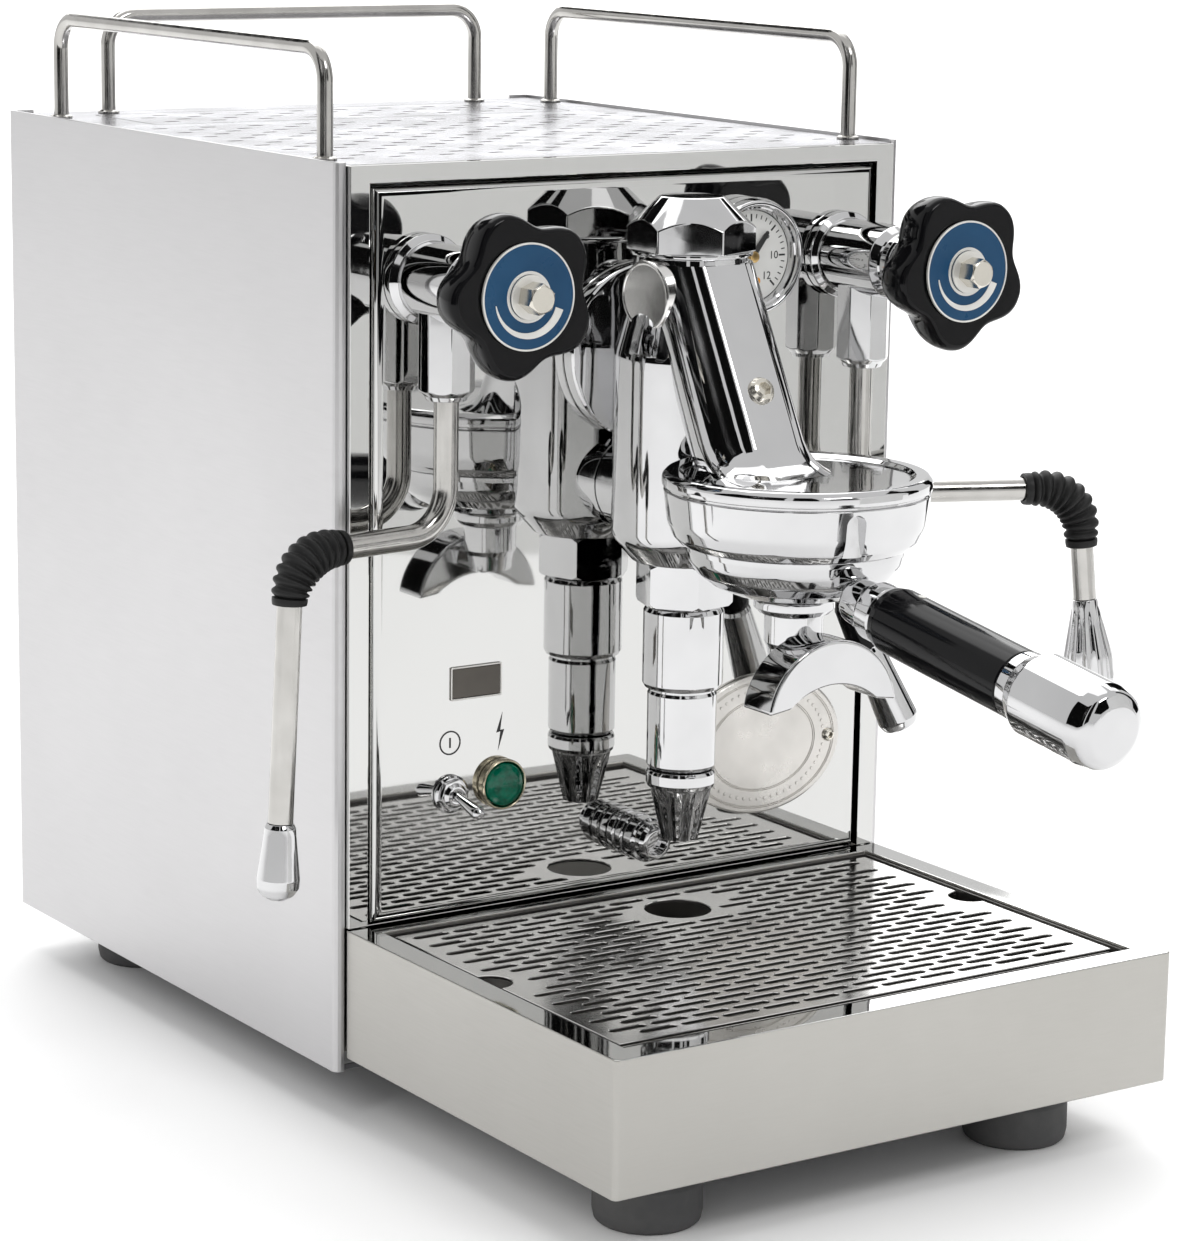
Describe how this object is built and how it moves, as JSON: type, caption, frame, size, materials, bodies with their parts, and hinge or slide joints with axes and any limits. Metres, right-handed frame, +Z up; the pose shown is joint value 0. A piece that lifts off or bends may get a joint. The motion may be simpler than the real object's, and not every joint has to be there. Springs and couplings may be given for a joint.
{
  "type": "espresso machine",
  "caption": "Espresso machine with a polished front, one lever-operated group and portafilter, steam and hot water wands on needle valves, a drawer drip tray and cup rails.",
  "frame": {"origin": "middle of the bounding box's footprint, on the surface under the feet", "axes": "+Z up, -Y towards the user, +X to the user's right"},
  "size_m": [0.368, 0.542, 0.3945],
  "materials": {
    "brushed": "fine brushed stainless steel",
    "polished": "mirror polished",
    "black": "gloss black",
    "rubber": "matt black",
    "dark": "dark grey coat",
    "blue": "blue printed disc",
    "brass": "bright",
    "white": "printed white",
    "green": "translucent green",
    "clear": "smoked clear plastic",
    "grey": "moulded grey"
  },
  "bodies": {
    "body": {"back_panel": "brushed", "badge_plate": "brushed", "base_plate": "dark", "boiler": "brass", "cam_housing": "polished", "cup_rail_back": "polished", "cup_rail_left": "polished", "cup_rail_right": "polished", "cup_tray": "polished", "drain_fitting": "polished", "drain_nozzle": "polished", "foot_front_left": "rubber", "foot_front_right": "rubber", "foot_rear_left": "rubber", "foot_rear_right": "rubber", "front_frame": "polished", "front_panel": "polished", "gauge_case": "polished", "gauge_dial": "white", "group_body": "polished", "group_cap": "polished", "lamp_bezel": "brass", "lamp_lens": "green", "lower_chamber": "polished", "pid_controller": "black", "power_inlet": "black", "pump": "grey", "shower_screen": "brushed", "side_panel_left": "brushed", "side_panel_right": "brushed", "steam_valve": "polished", "toggle_bushing": "polished", "water_valve": "polished"},
    "steam_knob": {"steam_knob": "black", "steam_knob_disc": "blue", "steam_knob_nut": "polished"},
    "water_knob": {"water_knob": "black", "water_knob_disc": "blue", "water_knob_nut": "polished"},
    "steam_wand": {"steam_wand": "polished", "steam_wand_grip": "rubber", "steam_wand_tip": "polished"},
    "water_wand": {"water_wand": "polished", "water_wand_grip": "rubber", "water_wand_tip": "polished"},
    "brew_lever": {"lever_cap": "polished", "lever_grip": "black", "lever_shaft": "polished"},
    "filter_basket": {"filter_basket": "brushed"},
    "portafilter": {"portafilter_body": "polished", "portafilter_end_cap": "polished", "portafilter_grip": "black", "portafilter_spout": "polished"},
    "drip_tray": {"drip_tray": "brushed", "tray_liner": "polished"},
    "drip_grille": {"drip_grille": "polished"},
    "water_tank": {"water_tank": "clear"},
    "tank_lid": {"tank_lid": "polished"},
    "toggle": {"toggle_lever": "polished"},
    "gauge_needle": {"gauge_needle": "black"}
  },
  "joints": [
    {"name": "steam_knob_turn", "type": "hinge", "parent": "body", "child": "steam_knob", "pos_m": [-0.1019, -0.04699, 0.312], "axis": [0, 1, 0], "range_deg": [0, 540]},
    {"name": "water_knob_turn", "type": "hinge", "parent": "body", "child": "water_knob", "pos_m": [0.0841, -0.05499, 0.312], "axis": [0, 1, 0], "range_deg": [0, 540]},
    {"name": "steam_wand_swivel", "type": "hinge", "parent": "body", "child": "steam_wand", "pos_m": [-0.1019, -0.01329, 0.2695], "axis": [0, 0, 1], "range_deg": [-25, 80]},
    {"name": "water_wand_swivel", "type": "hinge", "parent": "body", "child": "water_wand", "pos_m": [0.0841, -0.01329, 0.2695], "axis": [0, 0, 1], "range_deg": [-80, 35]},
    {"name": "brew_lever_pivot", "type": "hinge", "parent": "body", "child": "brew_lever", "pos_m": [0.0451, -0.03049, 0.222], "axis": [-1, 0, 0], "range_deg": [0, 90]},
    {"name": "portafilter_drop", "type": "slide", "parent": "body", "child": "filter_basket", "axis": [0, 0, -1], "range_m": [0, 0.045]},
    {"name": "portafilter_turn", "type": "hinge", "parent": "filter_basket", "child": "portafilter", "pos_m": [-0.0089, -0.09799, 0.225], "axis": [0, 0, 1], "range_deg": [-45, 0]},
    {"name": "drip_tray_slide", "type": "slide", "parent": "body", "child": "drip_tray", "axis": [0, -1, 0], "range_m": [0, 0.17]},
    {"name": "drip_grille_lift", "type": "slide", "parent": "drip_tray", "child": "drip_grille", "axis": [0, 0, 1], "range_m": [0, 0.012]},
    {"name": "water_tank_lift", "type": "slide", "parent": "body", "child": "water_tank", "axis": [0, 0, 1], "range_m": [0, 0.2]},
    {"name": "tank_lid_lift", "type": "slide", "parent": "water_tank", "child": "tank_lid", "axis": [0, 0, 1], "range_m": [0, 0.05]},
    {"name": "toggle_pivot", "type": "hinge", "parent": "body", "child": "toggle", "pos_m": [-0.0891, -0.00399, 0.12], "axis": [-1, 0, 0], "range_deg": [0, 24]},
    {"name": "gauge_needle_pivot", "type": "hinge", "parent": "body", "child": "gauge_needle", "pos_m": [0.0386, -0.00349, 0.3125], "axis": [0, 1, 0], "range_deg": [-165, 100]}
  ]
}
